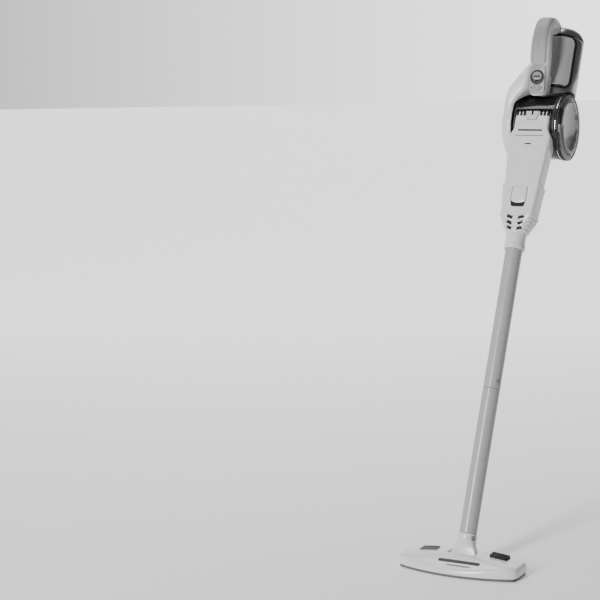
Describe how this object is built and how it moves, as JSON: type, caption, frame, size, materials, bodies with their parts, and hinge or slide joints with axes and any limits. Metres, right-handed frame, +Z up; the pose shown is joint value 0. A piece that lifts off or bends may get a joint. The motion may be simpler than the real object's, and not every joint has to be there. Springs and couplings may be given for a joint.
{
  "type": "cordless stick vacuum",
  "caption": "Cordless stick vacuum: hand unit with loop handle and pivoting clear dust bowl, nozzle in an adapter, extension tubes and a wide tilting floor head.",
  "frame": {"origin": "on the floor under the middle of the floor head's sole", "axes": "+Z up, X along the floor head, -Y to the front; the stick leans back towards +Y"},
  "size_m": [0.25, 0.6331, 1.0714],
  "materials": {
    "white_gloss": "smooth white gloss",
    "tube_grey": "light grey, softly glossy",
    "satin_grey": "fine satin grain",
    "dark_grey": "fine moulded grain",
    "black_plastic": "matt",
    "black_rubber": "soft matt rubber",
    "smoky_clear": "polished, see-through, smoky",
    "clear": "polished, see-through",
    "silver_metal": "brushed, satin",
    "trim_chrome": "polished",
    "steel": "plain turned steel",
    "bristle": "tufted nylon",
    "filter_paper": "pleated filter cloth",
    "board_green": "lacquered board",
    "cell_wrap": "shrink wrap"
  },
  "bodies": {
    "handset": {"motor_housing": "silver_metal", "rear_cap": "silver_metal", "trim_strips": "trim_chrome", "top_shell": "white_gloss", "housing_collar": "satin_grey", "side_arm": "white_gloss", "pivot_hub": "satin_grey", "handle_left": "white_gloss", "handle_right": "white_gloss", "grip_inlay": "satin_grey", "control_panel": "satin_grey", "switch_block": "black_plastic", "circuit_board": "board_green", "motor_can": "steel", "motor_mount": "black_rubber", "battery_cells": "cell_wrap", "battery_tray": "black_plastic", "charge_socket": "black_plastic", "cap_screws": "steel"},
    "fan": {"fan_impeller": "white_gloss", "motor_shaft": "steel"},
    "slider": {"power_slider": "dark_grey"},
    "pivot_release": {"pivot_button": "dark_grey"},
    "nozzle": {"nozzle_cover": "white_gloss", "nozzle_base": "white_gloss", "nozzle_clip": "satin_grey", "tip_window": "dark_grey", "crevice_tool": "dark_grey", "bowl_shell": "smoky_clear", "bowl_ring": "satin_grey", "bowl_gasket": "black_rubber", "door_hinge": "satin_grey", "filter_cup": "silver_metal", "filter_pleats": "filter_paper", "filter_screen": "dark_grey"},
    "crevice_release": {"crevice_button": "dark_grey"},
    "flap": {"inlet_flap": "black_rubber"},
    "door": {"bowl_door": "clear"},
    "door_release": {"door_button": "satin_grey"},
    "extension": {"adapter": "white_gloss", "upper_tube": "tube_grey", "lower_tube": "tube_grey", "neck": "white_gloss"},
    "latch": {"adapter_latch": "white_gloss"},
    "tube_release": {"tube_button": "satin_grey"},
    "neck_release": {"neck_button": "white_gloss"},
    "floor_head": {"head_shell": "white_gloss", "head_sole": "dark_grey", "head_bumper": "black_rubber", "head_bristles": "bristle", "head_duct": "satin_grey", "head_grilles": "black_plastic", "sole_screws": "steel", "wheel_axles": "steel", "neck_pins": "steel"},
    "left_wheel": {"wheel_left": "black_rubber"},
    "right_wheel": {"wheel_right": "black_rubber"}
  },
  "joints": [
    {"name": "fan_spin", "type": "hinge", "parent": "handset", "child": "fan", "pos_m": [0.004, 0.50001, 0.92161], "axis": [0, 0.4226, 0.9063], "continuous": true},
    {"name": "power_slide", "type": "slide", "parent": "handset", "child": "slider", "axis": [0, -0.1429, -0.9897], "range_m": [0, 0.006]},
    {"name": "pivot_press", "type": "slide", "parent": "handset", "child": "pivot_release", "axis": [0, 0.9897, -0.1429], "range_m": [0, 0.0025], "stiffness_N_per_m": 400, "springref_m": -0.002},
    {"name": "nozzle_pivot", "type": "hinge", "parent": "handset", "child": "nozzle", "pos_m": [0, 0.46723, 0.84421], "axis": [1, 0, 0], "range_deg": [0, 165]},
    {"name": "crevice_press", "type": "slide", "parent": "nozzle", "child": "crevice_release", "axis": [1, 0, 0], "range_m": [0, 0.002], "stiffness_N_per_m": 400, "springref_m": -0.002},
    {"name": "flap_swing", "type": "hinge", "parent": "nozzle", "child": "flap", "pos_m": [0, 0.40463, 0.85796], "axis": [1, 0, 0], "range_deg": [0, 25]},
    {"name": "door_swing", "type": "hinge", "parent": "nozzle", "child": "door", "pos_m": [0.054, 0.39863, 0.81925], "axis": [0, 0.342, -0.9397], "range_deg": [0, 100]},
    {"name": "door_press", "type": "slide", "parent": "door", "child": "door_release", "axis": [-1, 0, 0], "range_m": [0, 0.002], "stiffness_N_per_m": 400, "springref_m": -0.002},
    {"name": "adapter_slide", "type": "slide", "parent": "nozzle", "child": "extension", "axis": [0, -0.4226, -0.9063], "range_m": [0, 0.05]},
    {"name": "latch_lift", "type": "hinge", "parent": "extension", "child": "latch", "pos_m": [0, 0.32596, 0.72914], "axis": [-1, 0, 0], "range_deg": [0, 8], "stiffness_Nm_per_rad": 0.8, "springref_deg": -2.86},
    {"name": "tube_press", "type": "slide", "parent": "extension", "child": "tube_release", "axis": [-0.866, 0.4532, -0.2113], "range_m": [0, 0.002], "stiffness_N_per_m": 400, "springref_m": -0.002},
    {"name": "neck_press", "type": "slide", "parent": "extension", "child": "neck_release", "axis": [-0.866, 0.4532, -0.2113], "range_m": [0, 0.0015], "stiffness_N_per_m": 400, "springref_m": -0.002},
    {"name": "neck_tilt", "type": "hinge", "parent": "extension", "child": "floor_head", "pos_m": [0, 0.02, 0.02], "axis": [1, 0, 0], "range_deg": [-25, 50]},
    {"name": "left_wheel_spin", "type": "hinge", "parent": "floor_head", "child": "left_wheel", "pos_m": [-0.092, 0.027, 0.0091], "axis": [1, 0, 0], "continuous": true},
    {"name": "right_wheel_spin", "type": "hinge", "parent": "floor_head", "child": "right_wheel", "pos_m": [0.092, 0.027, 0.0091], "axis": [1, 0, 0], "continuous": true}
  ]
}
